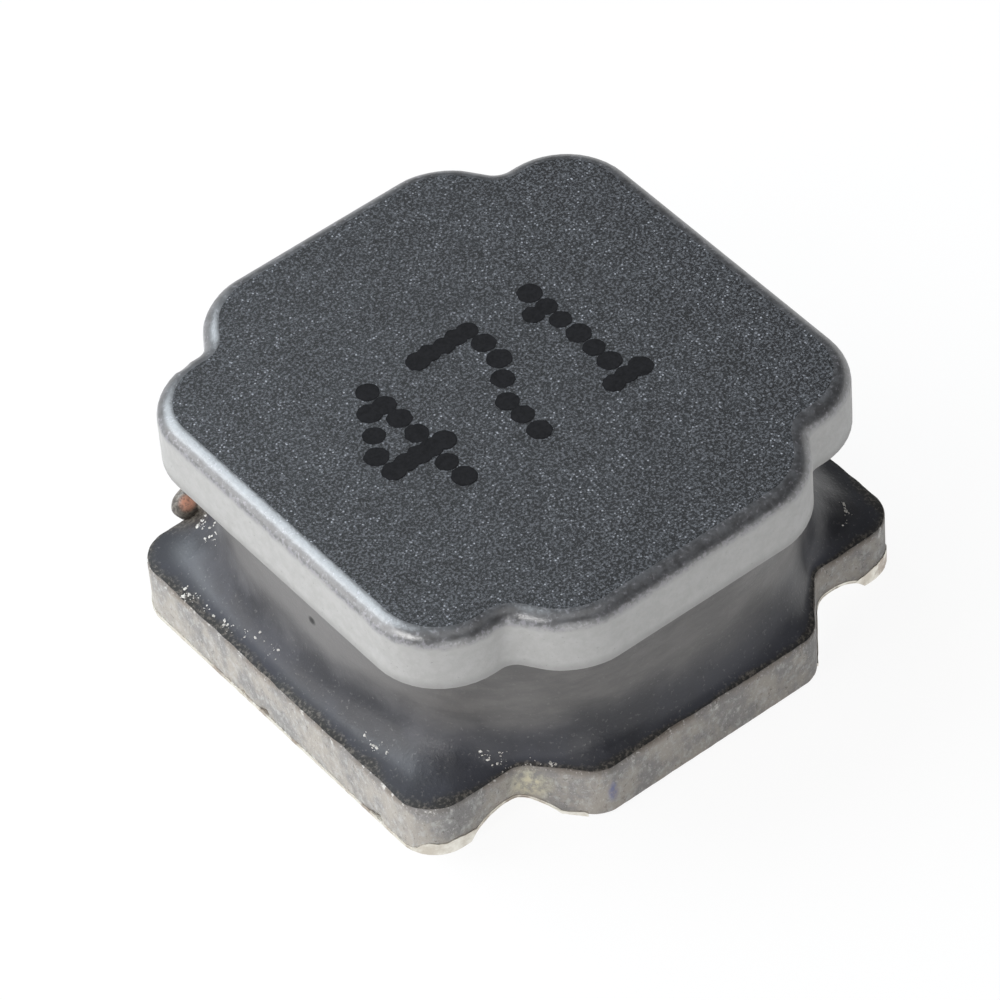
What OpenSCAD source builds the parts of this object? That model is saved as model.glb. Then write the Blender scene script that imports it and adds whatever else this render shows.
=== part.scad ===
// Shielded surface-mount power inductor, low profile, in millimetres.
// A one-piece ferrite drum core carries a wound coil between two notched flanges.
// Magnetic resin closes the gap round the coil, and draws back into a cove that
// runs out to the edge of the lower flange. Both ends of the wire come down the
// notches on the +Y side and are soldered into grooves under the lower flange,
// which tin-plated electrodes line.
// +Z is up, X runs from electrode to electrode, and the origin is in the middle
// of the underside.

/* [Core] */
// Overall height, from the electrodes to the top face
total_h = 2.75; // [2.5:0.05:3.6]
// Thickness of the lower flange, without the electrodes
base_t = 0.60; // [0.5:0.05:0.8]
// Thickness of the upper flange
top_t = 0.68; // [0.4:0.05:0.8]
// Diameter of the winding post between the flanges
post_d = 2.6; // [1.6:0.1:3.0]
// Radius on the top edge of the upper flange
edge_r = 0.17; // [0.05:0.01:0.3]

/* [Lower flange outline] */
// Length along X
base_x = 6.0; // [5.8:0.1:6.6]
// Width along Y, over the middle part
base_y = 6.0; // [5.8:0.1:6.6]
// Width along Y, over the corner lobes
base_lobe_y = 4.74; // [4.6:0.02:4.9]
// Distance from the centre line to the foot of each notch wall
base_foot_x = 1.87; // [1.8:0.01:2.0]
// Angle of the notch walls to the X axis, in degrees
base_slope = 50; // [45:1:60]
// Radius on the corners of the lobes
base_corner_r = 0.42; // [0.2:0.02:0.6]
// Radius in the foot of the notches
base_foot_r = 0.20; // [0.1:0.02:0.3]
// Radius where the notch walls meet the middle part
base_brow_r = 0.32; // [0.1:0.02:0.5]

/* [Upper flange outline] */
// Length along X
top_x = 5.62; // [5.4:0.02:5.8]
// Width along Y, over the middle part
top_y = 5.92; // [5.8:0.02:6.2]
// Width along Y, over the corner lobes
top_lobe_y = 4.72; // [4.6:0.02:4.9]
// Distance from the centre line to the foot of each notch wall
top_foot_x = 1.84; // [1.8:0.01:2.0]
// Angle of the notch walls to the X axis, in degrees
top_slope = 56; // [50:1:60]
// Radius on the corners of the lobes
top_corner_r = 0.78; // [0.4:0.02:0.9]
// Radius in the foot of the notches
top_foot_r = 0.18; // [0.1:0.02:0.3]
// Radius where the notch walls meet the middle part
top_brow_r = 0.75; // [0.3:0.05:0.8]

/* [Wire] */
// Diameter of the enamelled wire
wire_d = 0.18; // [0.14:0.01:0.2]
// Radius of the wire's centre line where a lead bends
lead_bend_r = 0.15; // [0.12:0.01:0.2]
// Gap between a lead and the ferrite, as a share of the bend's inner radius
lead_clearance = 0.33; // [0.3:0.01:0.5]
// Clearance between a wound turn and its neighbour along the post
turn_gap = 0.004; // [0:0.002:0.02]

/* [Electrodes] */
// Thickness of the plated electrodes
plate_t = 0.03; // [0.02:0.005:0.05]
// Width of each electrode, in from the end of the lower flange
plate_w = 1.55; // [1.5:0.01:1.8]
// Distance from the centre line to the middle of each lead groove
groove_x = 2.05; // [1.95:0.01:2.1]
// Depth of the lead grooves in the underside of the ferrite
groove_h = 0.23; // [0.2:0.01:0.3]
// Radius of the round bottom of the lead grooves
groove_r = 0.55; // [0.45:0.01:0.6]
// How far the solder stops short of the notches at the bent side
solder_back_in = 0.25; // [0.1:0.05:0.5]
// How far the solder stops short of the notches at the cut ends
solder_back_out = 0.40; // [0.3:0.05:0.8]
// Length of solder past the cut end of each wire
tail_cover = 0.10; // [0.05:0.01:0.2]
// Recess of the solder above the plane of the electrodes
solder_recess = 0.01; // [0:0.005:0.02]

/* [Shield resin] */
// Recess of the resin wall under the edge of the upper flange
resin_recess = 0.17; // [0.12:0.01:0.3]
// How square the resin wall is in plan: 2 is an ellipse, more is squarer
resin_squareness = 2.5; // [2:0.1:3]
// Set-back of the resin from the edge of the lower flange
resin_margin = 0.02; // [0:0.01:0.05]
// Thickness of the resin film at that edge
resin_film = 0.04; // [0.02:0.01:0.08]
// Height of the cove over the lower flange
cove_h = 0.55; // [0.3:0.05:0.7]
// Height of the small cove under the upper flange
lip_h = 0.25; // [0.1:0.05:0.3]
// Reach of the small cove under the upper flange
lip_w = 0.09; // [0.04:0.01:0.15]
// Thickness of the resin coat on a lead where it leaves the wall
coat_t = 0.05; // [0.02:0.01:0.06]

/* [Hidden] */

$fn = 64;
// Steps in the arcs of the flange outlines: corner, foot and brow
corner_steps = 10;
foot_steps = 5;
brow_steps = 7;
// Steps in the rounded top edge, in each cove and in each turn of wire
edge_steps = 6;
cove_steps = 8;
lip_steps = 3;
turn_steps = 4;
// Longest straight stretch between the resin's points in plan
resin_stretch = 0.3;
// Least width of the cove where the resin wall nears the flange edge, and how
// sharply the wall turns to keep it
cove_min = 0.04;
cove_turn = 24;
// A cut runs this far past what it cuts
past = 0.5;
// Angle of the outer turn that each lead comes off
last_turn = 80;

base_z = plate_t;
deck_z = base_z + base_t;
ceiling_z = total_h - top_t;
window_h = ceiling_z - deck_z;
wire_r = wire_d / 2;
turns = floor(window_h / (wire_d + turn_gap));
turn_pitch = window_h / turns;
coil_r = groove_x;
notch_y = base_lobe_y / 2;
// Just clear of the flange's edge on the inside of a bend
lead_gap = (lead_bend_r - wire_r) * lead_clearance;
lead_z = deck_z + lead_gap + wire_r;
lead_y = notch_y + lead_gap + wire_r;
groove_top = base_z + groove_h;
groove_axis_z = groove_top - groove_r;
lining_r = groove_r - plate_t;
tail_z = groove_top - plate_t - lead_gap - wire_r;
tail_end_y = -notch_y + solder_back_out + tail_cover;
resin_half_x = min(base_x, top_x) / 2 - resin_recess;
resin_half_y = min(base_y, top_y) / 2 - resin_recess;

// ---- outlines ------------------------------------------------------------

// Points of an arc about c, of radius r, between two angles
function arc(c, r, from, to, steps) =
    [for (i = [0:steps])
        let (t = from + (to - from) * i / steps)
        [c.x + r * cos(t), c.y + r * sin(t)]];

// A quarter of a flange, from the X axis to the Y axis: lobe corner, notch
// foot and brow. The notch wall climbs at the angle slope. inset draws the
// whole outline in by an even distance.
function quarter(x, y, lobe_y, foot_x, slope, corner_r, foot_r, brow_r, inset) =
    let (hx = x / 2 - inset,
         hy = y / 2 - inset,
         lobe = lobe_y / 2 - inset,
         half = tan(slope / 2),
         foot = foot_x - inset * half,
         rc = corner_r - inset,
         rf = foot_r + inset,
         rb = brow_r - inset,
         brow = foot - (hy - lobe) / tan(slope))
    concat(arc([hx - rc, lobe - rc], rc, 0, 90, corner_steps),
           arc([foot + rf * half, lobe + rf], rf, -90, -90 - slope, foot_steps),
           arc([brow - rb * half, hy - rb], rb, 90 - slope, 90, brow_steps));

// The whole outline, from one quarter mirrored about both axes
function all_round(q) =
    let (last = len(q) - 1)
    concat(q,
           [for (i = [last:-1:0]) [-q[i].x, q[i].y]],
           [for (p = q) [-p.x, -p.y]],
           [for (i = [last:-1:0]) [q[i].x, -q[i].y]]);

function base_outline(inset = 0) =
    all_round(quarter(base_x, base_y, base_lobe_y, base_foot_x, base_slope,
                      base_corner_r, base_foot_r, base_brow_r, inset));

function top_outline(inset = 0) =
    all_round(quarter(top_x, top_y, top_lobe_y, top_foot_x, top_slope,
                      top_corner_r, top_foot_r, top_brow_r, inset));

// The same outline with its long straight stretches divided
function divided(pts, stretch) =
    [for (i = [0:len(pts) - 1])
        let (a = pts[i],
             b = pts[(i + 1) % len(pts)],
             n = max(1, ceil(norm(b - a) / stretch)))
        for (k = [0:n - 1]) a + (b - a) * k / n];

function cross2(a, b) = a.x * b.y - a.y * b.x;

// The smaller of two lengths, with the change from one to the other eased: the
// larger k is, the sharper it turns
function eased_min(a, b, k) = -ln(exp(-k * a) + exp(-k * b)) / k;

// Distance from the middle to an outline along the unit vector u
function reach(pts, u) =
    max([for (i = [0:len(pts) - 1])
        let (a = pts[i],
             e = pts[(i + 1) % len(pts)] - a,
             d = cross2(u, e),
             s = abs(d) < 1e-9 ? -1 : cross2(a, u) / d,
             r = abs(d) < 1e-9 ? 0 : cross2(a, e) / d)
        s >= -1e-6 && s <= 1 + 1e-6 ? r : 0]);

// ---- solids ----------------------------------------------------------------

// A solid through rings of points. Each ring is [points in plan, height], and
// every ring has the same number of points and goes once round the Z axis. The
// ends are closed by fans from a point on that axis.
module loft(rings) {
    n = len(rings[0][0]);
    last = len(rings) - 1;
    low = (last + 1) * n;
    points = concat([for (ring = rings) for (p = ring[0]) [p.x, p.y, ring[1]]],
                    [[0, 0, rings[0][1]], [0, 0, rings[last][1]]]);
    sides = [for (j = [0:last - 1]) for (i = [0:n - 1])
                let (a = j * n + i,
                     b = j * n + (i + 1) % n)
                for (face = [[a, b + n, b], [a, a + n, b + n]]) face];
    ends = [for (i = [0:n - 1])
                let (k = (i + 1) % n)
                for (face = [[low, i, k], [low + 1, last * n + k, last * n + i]]) face];
    polyhedron(points, concat(sides, ends));
}

// A cylinder along Y, from y0 to y1, through [x, z]
module rod_y(x, z, r, y0, y1) {
    translate([x, y1, z])
        rotate([90, 0, 0])
            cylinder(h = y1 - y0, r = r);
}

// A quarter bend in the YZ plane, from +Y round to the direction given:
// down = 1 turns from the deck into the notch, down = -1 from the notch
// into the groove
module elbow(x, y, z, r, down) {
    translate([x, y - lead_bend_r, z - down * lead_bend_r])
        rotate([down > 0 ? 0 : -90, 0, 0])
            rotate([90, 0, 90])
                rotate_extrude(angle = 90)
                    translate([lead_bend_r, 0])
                        circle(r = r);
}

// ---- the pieces --------------------------------------------------------------

// Upper flange, with its top edge rounded over
module upper_flange() {
    straight = [[top_outline(), ceiling_z], [top_outline(), total_h - edge_r]];
    round_over = [for (i = [1:edge_steps])
        let (t = 90 * i / edge_steps)
        [top_outline(edge_r * (1 - cos(t))), total_h - edge_r + edge_r * sin(t)]];
    loft(concat(straight, round_over));
}

module lower_flange() {
    difference() {
        translate([0, 0, base_z])
            linear_extrude(base_t)
                polygon(base_outline());
        for (side = [-1, 1])
            rod_y(side * groove_x, groove_axis_z, groove_r, -base_y, base_y);
    }
}

module post() {
    translate([0, 0, deck_z])
        cylinder(h = window_h, d = post_d);
}

module drum_core() {
    color([0.33, 0.34, 0.36]) union() {
        lower_flange();
        post();
        upper_flange();
    }
}

// Section of the wound coil, from bore_r out: flat against both flanges, with
// the turns of its outer layer standing out as round ridges
module coil_section(bore_r) {
    ridge_r = turn_pitch / 2;
    ridges = [for (k = [0:turns - 1])
        for (i = [0:turn_steps])
            let (t = -90 + 180 * i / turn_steps)
            [coil_r - ridge_r + ridge_r * cos(t),
             deck_z + (k + 0.5) * turn_pitch + ridge_r * sin(t)]];
    polygon(concat([[bore_r, deck_z]], ridges, [[bore_r, ceiling_z]]));
}

// One end of the wire, on the side where x has the sign side: the last stretch
// of the outer turn, straight along the deck, down the notch, and back along
// the groove to its cut end. r is the radius of what is swept.
module lead(side, r) {
    translate([0, 0, lead_z])
        rotate([0, 0, side > 0 ? -last_turn : 180])
            rotate_extrude(angle = last_turn)
                translate([coil_r, 0])
                    circle(r = r);
    x = side * groove_x;
    rod_y(x, lead_z, r, 0, lead_y - lead_bend_r);
    elbow(x, lead_y, lead_z, r, 1);
    translate([x, lead_y, tail_z + lead_bend_r])
        cylinder(h = lead_z - tail_z - 2 * lead_bend_r, r = r);
    elbow(x, lead_y, tail_z, r, -1);
    rod_y(x, tail_z, r, tail_end_y, lead_y - lead_bend_r);
}

module winding() {
    color([0.72, 0.40, 0.22]) union() {
        rotate_extrude()
            coil_section(post_d / 2);
        for (side = [-1, 1])
            lead(side, wire_r);
    }
}

// The resin's wall, in plan, along the unit vector u
function wall_reach(u) =
    pow(pow(abs(u.x) / resin_half_x, resin_squareness)
        + pow(abs(u.y) / resin_half_y, resin_squareness), -1 / resin_squareness);

// Cove from the edge of the lower flange up to the wall, and a smaller one
// from the wall out under the upper flange
module resin_body() {
    edge = divided(base_outline(resin_margin), resin_stretch);
    roof = top_outline(resin_margin);
    way = [for (p = edge) p / norm(p)];
    out = [for (p = edge) norm(p)];
    wall = [for (i = [0:len(edge) - 1])
        eased_min(wall_reach(way[i]), out[i] - cove_min, cove_turn)];
    lip = [for (i = [0:len(edge) - 1])
        eased_min(wall[i] + lip_w, reach(roof, way[i]), cove_turn)];
    film_z = deck_z + resin_film;
    cove = [for (k = [0:cove_steps])
        let (t = 90 * k / cove_steps)
        [[for (i = [0:len(edge) - 1])
            way[i] * (out[i] + (wall[i] - out[i]) * sin(t))],
         film_z + cove_h * (1 - cos(t))]];
    under = [for (k = [0:lip_steps])
        let (t = 90 * k / lip_steps)
        [[for (i = [0:len(edge) - 1])
            way[i] * (wall[i] + (lip[i] - wall[i]) * (1 - cos(t)))],
         ceiling_z - lip_h * (1 - sin(t))]];
    loft(concat([[edge, deck_z]], cove, under));
}

// Coat on a lead, from the wall over the edge of the lower flange
module lead_coat(side) {
    x = side * groove_x;
    r = wire_r + coat_t;
    intersection() {
        union() {
            rod_y(x, lead_z, r, notch_y / 2, lead_y - lead_bend_r);
            elbow(x, lead_y, lead_z, r, 1);
        }
        translate([x - past, 0, deck_z])
            cube([2 * past, base_y, window_h]);
    }
}

module shield_resin() {
    color([0.20, 0.20, 0.21]) difference() {
        union() {
            resin_body();
            for (side = [-1, 1])
                lead_coat(side);
        }
        rotate_extrude()
            coil_section(0);
        for (side = [-1, 1])
            lead(side, wire_r);
    }
}

// Plan of one electrode: the end of the lower flange
module electrode_plan(side) {
    intersection() {
        polygon(base_outline());
        translate([side > 0 ? base_x / 2 - plate_w : -base_x / 2 - past, -base_y])
            square([plate_w + past, 2 * base_y]);
    }
}

// Plating under one end of the lower flange, lining the groove as well
module electrode(side) {
    color([0.80, 0.79, 0.76]) difference() {
        intersection() {
            linear_extrude(groove_top + past)
                electrode_plan(side);
            union() {
                translate([-base_x, -base_y, 0])
                    cube([2 * base_x, 2 * base_y, plate_t]);
                rod_y(side * groove_x, groove_axis_z, groove_r, -base_y, base_y);
            }
        }
        rod_y(side * groove_x, groove_axis_z, lining_r, -base_y, base_y);
    }
}

module electrode_left() {
    electrode(-1);
}

module electrode_right() {
    electrode(1);
}

// Solder that fills a groove round the tail of the wire
module solder(side) {
    x = side * groove_x;
    color([0.74, 0.74, 0.73]) difference() {
        intersection() {
            rod_y(x, groove_axis_z, lining_r,
                  -notch_y + solder_back_out, notch_y - solder_back_in);
            translate([x - groove_r, -base_y, solder_recess])
                cube([2 * groove_r, 2 * base_y, groove_top]);
        }
        lead(side, wire_r);
    }
}

module solder_left() {
    solder(-1);
}

module solder_right() {
    solder(1);
}

drum_core();
winding();
shield_resin();
electrode_left();
electrode_right();
solder_left();
solder_right();
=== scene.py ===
# %% [markdown]
# # A shielded power inductor, six millimetres square
# The part is a drum of ferrite with a copper coil round its post. Magnetic resin
# fills the gap between the two flanges, and tin-plated ends are soldered to the
# wire underneath. Each step below makes one of those pieces on top of the packed
# CAD frame, and then gives it a finish.

# %% Load the frame
import math
import random

import bmesh
import bpy
from mathutils import Matrix, Vector, noise
from mathutils.bvhtree import BVHTree


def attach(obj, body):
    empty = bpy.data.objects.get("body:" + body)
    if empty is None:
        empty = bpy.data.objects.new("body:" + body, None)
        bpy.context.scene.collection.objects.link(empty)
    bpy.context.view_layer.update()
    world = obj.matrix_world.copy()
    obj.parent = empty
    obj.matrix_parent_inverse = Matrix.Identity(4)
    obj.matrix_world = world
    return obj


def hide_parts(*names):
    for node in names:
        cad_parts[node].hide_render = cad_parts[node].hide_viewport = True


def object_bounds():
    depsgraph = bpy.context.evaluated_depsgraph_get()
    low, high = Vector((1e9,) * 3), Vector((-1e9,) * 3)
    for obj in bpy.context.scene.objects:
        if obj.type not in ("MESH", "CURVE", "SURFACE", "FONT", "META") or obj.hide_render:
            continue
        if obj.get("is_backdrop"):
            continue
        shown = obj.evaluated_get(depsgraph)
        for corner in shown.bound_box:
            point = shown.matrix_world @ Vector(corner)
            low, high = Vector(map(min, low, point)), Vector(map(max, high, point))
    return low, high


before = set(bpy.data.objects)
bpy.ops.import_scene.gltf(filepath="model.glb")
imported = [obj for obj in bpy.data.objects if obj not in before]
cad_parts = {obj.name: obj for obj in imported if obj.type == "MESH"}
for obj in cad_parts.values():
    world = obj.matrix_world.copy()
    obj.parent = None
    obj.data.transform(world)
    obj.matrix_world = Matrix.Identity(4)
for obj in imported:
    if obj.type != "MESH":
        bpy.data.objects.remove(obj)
cad_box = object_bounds()
print("frame nodes:", sorted(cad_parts))

# %% [markdown]
# Everything here is drawn in millimetres, because the part's own sizes are easy to
# think about that way. A piece is brought down to metres once, when it is finished.
# Each flange is written down as a few numbers: half its length and width, how far out
# its lobes stand, where a notch starts, how steep its sides are, and three radii.

# %% Sizes that the pieces share
MM = 0.001

total_h = 2.75  # from the pads to the top
base_z = 0.03  # underside of the ferrite
deck_z = 0.63  # top of the lower flange
ceiling_z = 2.07  # underside of the upper flange
edge_r = 0.17  # rounding of the top rim
post_r = 1.3
coil_r = 2.05
wire_r = 0.09
groove_x = 2.05  # each groove's distance from the middle
groove_r = 0.55
groove_top = 0.26
groove_axis_z = groove_top - groove_r
plate_t = 0.03  # plating under the part and in its grooves
ink_t = 0.005
tin_t = 0.010  # plating on the sides
seam = 1e-5  # points nearer than this are one point

lower = dict(x=3.0, y=3.0, lobe=2.37, foot=1.87, slope=50, corner=0.42, hollow=0.20, brow=0.32)
upper = dict(x=2.81, y=2.96, lobe=2.36, foot=1.84, slope=56, corner=0.78, hollow=0.18, brow=0.75)
print("post", round(ceiling_z - deck_z, 3), "mm high between the flanges")


# %% [markdown]
# ## The camera
# It looks down at the corner between the left end and the front of the part, with a
# long lens from some distance, so that the part's edges stay nearly parallel. The
# near clipping distance is a millimetre, because the whole scene fits in a hand.

# %% Camera
def aim(obj, place, target, roll=0.0):
    look = (Vector(target) - Vector(place)).to_track_quat("-Z", "Y")
    obj.rotation_euler = (look.to_matrix() @ Matrix.Rotation(roll, 3, "Z")).to_euler()
    obj.location = Vector(place) * MM


camera_data = bpy.data.cameras.new("camera")
camera_data.lens = 227.9
camera_data.sensor_width = 36
camera_data.clip_start = 0.001
camera_data.clip_end = 10
camera = bpy.data.objects.new("camera", camera_data)
bpy.context.scene.collection.objects.link(camera)
aim(camera, (-24.606, -34.863, 46.095), (-0.128, 0.025, 1.2), math.radians(-5.01))
bpy.context.scene.camera = camera
bpy.context.scene.view_settings.view_transform = "Standard"
print("camera stands", round(camera.location.length / MM, 1), "mm from the middle of the part")


# %% [markdown]
# ## Floor, background and light
# Materials and the world are both trees of nodes. A tree could be clicked together in
# the shader editor, but in a script a few helpers keep it short. One makes a node and
# joins its inputs, one does sums, and one turns a range of values into another.

# %% Node helpers
def new_tree(name):
    material = bpy.data.materials.new(name)
    material.use_nodes = True
    material.node_tree.nodes.clear()
    return material, material.node_tree


def add(tree, kind, inputs=None, **settings):
    node = tree.nodes.new("ShaderNode" + kind)
    for key, value in settings.items():
        setattr(node, key, value)
    for key, value in (inputs or {}).items():
        if isinstance(value, bpy.types.NodeSocket):
            tree.links.new(value, node.inputs[key])
        else:
            node.inputs[key].default_value = value
    return node


def calc(tree, operation, a, b=0.0):
    return add(tree, "Math", {0: a, 1: b}, operation=operation).outputs[0]


def ramp(tree, value, low, high, out_low=0.0, out_high=1.0):
    return add(tree, "MapRange", {"Value": value, "From Min": low, "From Max": high,
                                  "To Min": out_low, "To Max": out_high},
               interpolation_type="SMOOTHSTEP").outputs[0]


# %% [markdown]
# The world is plain white to the camera. To the other rays it is a dim room, so that
# the lamps do the work, with a white horizon where the table runs on.

# %% World
room_light = 0.15
world = bpy.data.worlds.new("studio")
bpy.context.scene.world = world
world.use_nodes = True
tree = world.node_tree
tree.nodes.clear()
path = add(tree, "LightPath")
upward = add(tree, "SeparateXYZ", {0: add(tree, "TexCoord").outputs["Generated"]}).outputs[2]
sharp_rays = calc(tree, "MAXIMUM", path.outputs["Is Glossy Ray"], path.outputs["Is Transmission Ray"])
horizon = calc(tree, "MULTIPLY", sharp_rays, ramp(tree, upward, 0.05, 0.35, 1.0, 0.0))
seen = calc(tree, "MAXIMUM", path.outputs["Is Camera Ray"], horizon)
room = add(tree, "Background", {"Color": (1, 1, 1, 1), "Strength": room_light})
white = add(tree, "Background", {"Color": (1, 1, 1, 1), "Strength": 1.0})
mixed = add(tree, "MixShader", {0: seen, 1: room.outputs[0], 2: white.outputs[0]})
add(tree, "OutputWorld", {"Surface": mixed.outputs[0]})
print("the room gives", room_light, "of full white")

# %% [markdown]
# The floor is a pale sheet, as in a product studio. Most of its white is its own, for
# camera, glossy and transmission rays, so the background stays white. The rest is
# paper that takes the soft shadow of the part.

# %% Floor
floor_half = 0.3
own_white_share = 0.92
bm = bmesh.new()
bmesh.ops.create_grid(bm, x_segments=1, y_segments=1, size=floor_half)
floor_mesh = bpy.data.meshes.new("floor")
bm.to_mesh(floor_mesh)
bm.free()
floor = bpy.data.objects.new("floor", floor_mesh)
bpy.context.scene.collection.objects.link(floor)
floor_paper, tree = new_tree("floor_paper")
path = add(tree, "LightPath")
sharp_rays = calc(tree, "MAXIMUM", path.outputs["Is Glossy Ray"], path.outputs["Is Transmission Ray"])
seen = calc(tree, "MAXIMUM", path.outputs["Is Camera Ray"], sharp_rays)
paper = add(tree, "BsdfDiffuse", {"Color": (0.95, 0.95, 0.95, 1)})
own_white = add(tree, "Emission", {"Color": (1, 1, 1, 1), "Strength": 1.0})
mixed = add(tree, "MixShader", {0: calc(tree, "MULTIPLY", seen, own_white_share), 1: paper.outputs[0],
                                2: own_white.outputs[0]})
add(tree, "OutputMaterial", {"Surface": mixed.outputs[0]})
floor_mesh.materials.append(floor_paper)
floor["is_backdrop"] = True
print("floor:", 2 * floor_half, "m across")


# %% [markdown]
# The lamps are large for so small a part. A wide one at the back on the left draws
# the bright band along the rounded left edge. A second one lights the left end, and
# a small one puts a short glint on each rounded corner. Two faint ones keep the top
# and the front from going dark.

# %% Lamps
def soft_lamp(name, place, size, watts, tint=(1, 1, 1)):
    lamp = bpy.data.lights.new(name, "AREA")
    lamp.shape = "DISK"
    lamp.size = size * MM
    lamp.energy = watts
    lamp.color = tint
    obj = bpy.data.objects.new(name, lamp)
    bpy.context.scene.collection.objects.link(obj)
    aim(obj, place, (0, 0, 1))
    print(name, "stands", round(Vector(place).length), "mm away, with", watts, "W")


soft_lamp("lamp_back_left", (-26.6, 73, 78), 100, 0.115, (0.86, 0.94, 1.0))
soft_lamp("lamp_left", (-86.3, 49.8, 46.5), 120, 0.070, (1.0, 0.99, 0.98))
soft_lamp("lamp_glint", (-86, -8, 68), 46, 0.034, (1.0, 0.99, 0.98))
soft_lamp("lamp_above", (-10, -30, 120), 100, 0.016)
soft_lamp("lamp_front", (-50, -92, 30), 70, 0.020)


# %% [markdown]
# ## Finishes
# Patterns are laid in object coordinates, turned into millimetres, so that a grain
# of 0.02 mm is written as fifty to the millimetre. Finer grain stands on coarser
# patches, because no real surface is even at every scale. The last helper ends every
# material in the same way: a bump of so many millimetres, one surface, one output.

# %% Finish helpers
def in_mm(tree, stretch=(1, 1, 1)):
    coords = add(tree, "TexCoord").outputs["Object"]
    scale = tuple(1000 * s for s in stretch)
    return add(tree, "Mapping", {"Vector": coords, "Scale": scale}).outputs[0]


def grain(tree, where, per_mm, detail=2.0, rough=0.5):
    return add(tree, "TexNoise", {"Vector": where, "Scale": per_mm, "Detail": detail,
                                  "Roughness": rough}).outputs["Fac"]


def blend(tree, share, a, b):
    node = add(tree, "Mix", {0: share}, data_type="RGBA")
    for socket, value in ((node.inputs[6], a), (node.inputs[7], b)):
        if isinstance(value, bpy.types.NodeSocket):
            tree.links.new(value, socket)
        else:
            socket.default_value = (*value, 1)
    return node.outputs[2]


def near_spot(tree, where, spot, inner, outer):
    gap = add(tree, "VectorMath", {0: where, 1: spot}, operation="DISTANCE").outputs["Value"]
    return ramp(tree, gap, inner, outer, 1.0, 0.0)


def axis_of(tree, where, axis):
    return add(tree, "SeparateXYZ", {0: where}).outputs["XYZ".index(axis)]


def close_tree(tree, colour, rough, height, strength, depth_mm, **more):
    bump = add(tree, "Bump", {"Height": height, "Strength": strength, "Distance": depth_mm * MM})
    inputs = {"Base Color": colour, "Roughness": rough, "Normal": bump.outputs[0], **more}
    surface = add(tree, "BsdfPrincipled", inputs)
    add(tree, "OutputMaterial", {"Surface": surface.outputs[0]})
    print("a finish of", len(tree.nodes), "nodes, with a bump of", depth_mm, "mm")


# %% [markdown]
# Ferrite is a pressed and sintered ceramic. The ground top is nearly black, and some
# of its crystals catch the light as glints, which are painted highlights here. Voronoi
# cells stand for those crystals: the few that a random number picks are painted pale in
# their middles.

# %% Ground ferrite of the top
ground, tree = new_tree("ground_ferrite")
mm = in_mm(tree)
fleck = grain(tree, mm, 36, 3, 0.8)
patch = grain(tree, mm, 3.5, 4, 0.6)
dark = blend(tree, ramp(tree, patch, 0.35, 0.65), (0.003, 0.003, 0.004), (0.010, 0.011, 0.013))
dark = blend(tree, ramp(tree, fleck, 0.47, 0.60), dark, (0.104, 0.110, 0.122))
cells = add(tree, "TexVoronoi", {"Vector": mm, "Scale": 30})
lucky = ramp(tree, add(tree, "SeparateColor", {0: cells.outputs["Color"]}).outputs[0], 0.50, 1.0)
middle = ramp(tree, cells.outputs["Distance"], 0.12, 0.40, 1.0, 0.0)
# Painted highlights: the picked crystals are made pale, as if each caught a lamp.
glint = calc(tree, "MULTIPLY", lucky, middle)
glint = calc(tree, "MULTIPLY", glint, ramp(tree, patch, 0.35, 0.65, 0.3, 1.0))
dark = blend(tree, glint, dark, (0.46, 0.48, 0.53))
rough = ramp(tree, fleck, 0.3, 0.7, 0.44, 0.34)
close_tree(tree, dark, rough, fleck, 0.5, 0.008, IOR=1.6)

# %% [markdown]
# Tumbling polished the rounded rim, so it mirrors the lamps as a bright band, and dense
# ferrite mirrors about as strongly as a gemstone. Below the rim the sides are paler than
# the top: partly the even skin of the furnace, partly painted reflection of the white floor
# that they face. They are a little darker just above the flange's underside.

# %% Ferrite of the upper flange
ferrite, tree = new_tree("sintered_ferrite")
mm = in_mm(tree)
skin = grain(tree, mm, 9, 4, 0.7)
fine = grain(tree, mm, 24, 2, 0.6)
# Pale sides: furnace skin, partly painted reflection of the floor.
pale = blend(tree, ramp(tree, skin, 0.35, 0.65), (0.318, 0.313, 0.303), (0.365, 0.360, 0.352))
pale = blend(tree, ramp(tree, fine, 0.68, 0.76, 0.0, 0.6), pale, (0.15, 0.145, 0.14))
z = axis_of(tree, mm, "Z")
pale = blend(tree, ramp(tree, z, 2.08, 2.20, 0.5, 0.0), pale, (0.13, 0.125, 0.12))
polished = ramp(tree, calc(tree, "ADD", z, ramp(tree, skin, 0.3, 0.7, -0.02, 0.02)), 2.57, 2.66)
band = blend(tree, ramp(tree, skin, 0.35, 0.65), (0.020, 0.021, 0.024), (0.070, 0.073, 0.080))
# Speckles grow denser towards the foot of the rim: partly pitting, partly painted light that lifts the
# dark foot of the rim.
speckle = ramp(tree, calc(tree, "ADD", fine, ramp(tree, z, 2.61, 2.70, 0.10, -0.14)), 0.42, 0.62)
band = blend(tree, speckle, band, (0.17, 0.165, 0.185))
colour = blend(tree, polished, pale, band)
rough = ramp(tree, fine, 0.3, 0.7, 0.30, 0.36)
rough = calc(tree, "ADD", rough, ramp(tree, polished, 0.2, 0.8, 0.20, 0.0))
close_tree(tree, colour, rough, skin, 0.4, 0.012, IOR=2.3)

# %% [markdown]
# The lower flange has been through resin, flux and plating. It is stained warm and
# mottled, browned just under the resin, chipped pale along its upper edge, and has
# a yellow patch of flux in the front notch and one small blue smudge.

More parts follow.
